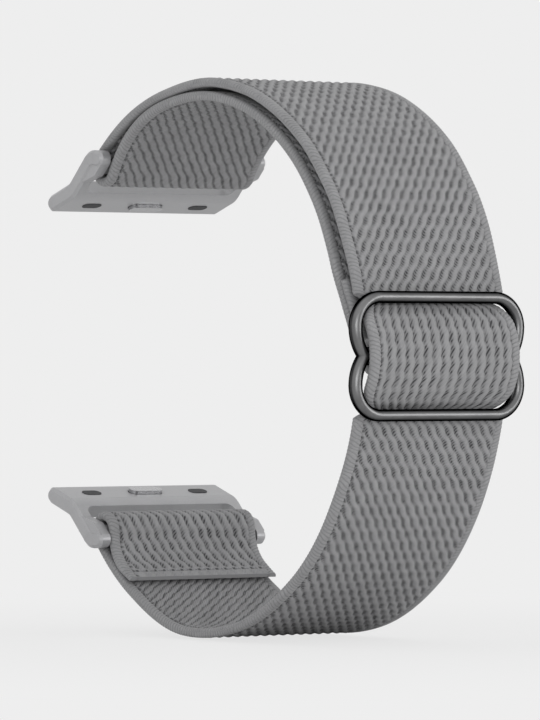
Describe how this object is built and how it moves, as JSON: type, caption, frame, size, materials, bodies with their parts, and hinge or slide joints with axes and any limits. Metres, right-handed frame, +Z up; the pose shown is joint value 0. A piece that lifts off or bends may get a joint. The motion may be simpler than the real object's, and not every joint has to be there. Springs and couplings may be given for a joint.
{
  "type": "watch strap",
  "caption": "Grey elastic woven loop strap for a wrist watch: one band doubled back through a metal slide adjuster, with a painted metal adapter at each end that slides into the watch.",
  "frame": {"origin": "where the middle of the watch case sits: midway between the two adapter tongues, on the strap's centre plane", "axes": "+X across the strap, +Z up along the watch from the lower adapter to the upper one, +Y out through the watch's face, so the adjuster is at -Y"},
  "size_m": [0.0286, 0.0739, 0.0746],
  "materials": {
    "webbing": "woven, matte",
    "thread": "matte",
    "gunmetal": "polished gunmetal",
    "painted_metal": "satin",
    "bright_steel": "satin",
    "nylon": "matte"
  },
  "bodies": {
    "webbing": {"webbing_outer_run": "webbing", "webbing_inner_run": "webbing", "webbing_upper_turn": "webbing", "webbing_lower_run": "webbing", "webbing_lower_fold": "webbing", "hem_stitching": "thread"},
    "slider": {"slider_frame": "gunmetal", "slider_centre_bar": "gunmetal", "webbing_slider_pass": "webbing", "webbing_slider_end_loop": "webbing", "slider_end_stitching": "thread"},
    "upper_adapter": {"upper_adapter_frame": "painted_metal", "upper_latch_cover": "painted_metal", "upper_latch_springs": "bright_steel", "upper_friction_pads": "nylon"},
    "upper_latch": {"upper_latch_button": "bright_steel"},
    "lower_adapter": {"lower_adapter_frame": "painted_metal", "lower_latch_cover": "painted_metal", "lower_latch_springs": "bright_steel", "lower_friction_pads": "nylon"},
    "lower_latch": {"lower_latch_button": "bright_steel"}
  },
  "joints": [
    {"name": "slider_travel", "type": "hinge", "parent": "webbing", "child": "slider", "pos_m": [0, -0.02934, -0.001], "axis": [1, 0, 0], "range_deg": [-40, 50], "deforming": ["webbing_outer_run", "webbing_inner_run", "webbing_lower_run"]},
    {"name": "upper_adapter_swing", "type": "hinge", "parent": "webbing", "child": "upper_adapter", "pos_m": [0, -0.0067, 0.02523], "axis": [1, 0, 0], "range_deg": [-45, 45]},
    {"name": "lower_adapter_swing", "type": "hinge", "parent": "webbing", "child": "lower_adapter", "pos_m": [0, -0.0067, -0.02523], "axis": [1, 0, 0], "range_deg": [-45, 45]},
    {"name": "upper_latch_press", "type": "slide", "parent": "upper_adapter", "child": "upper_latch", "axis": [0, 0.3173, 0.9483], "range_m": [0, 0.0005], "stiffness_N_per_m": 800, "springref_m": -0.0005, "deforming": ["upper_latch_springs"]},
    {"name": "lower_latch_press", "type": "slide", "parent": "lower_adapter", "child": "lower_latch", "axis": [0, 0.3173, -0.9483], "range_m": [0, 0.0005], "stiffness_N_per_m": 800, "springref_m": -0.0005, "deforming": ["lower_latch_springs"]}
  ]
}
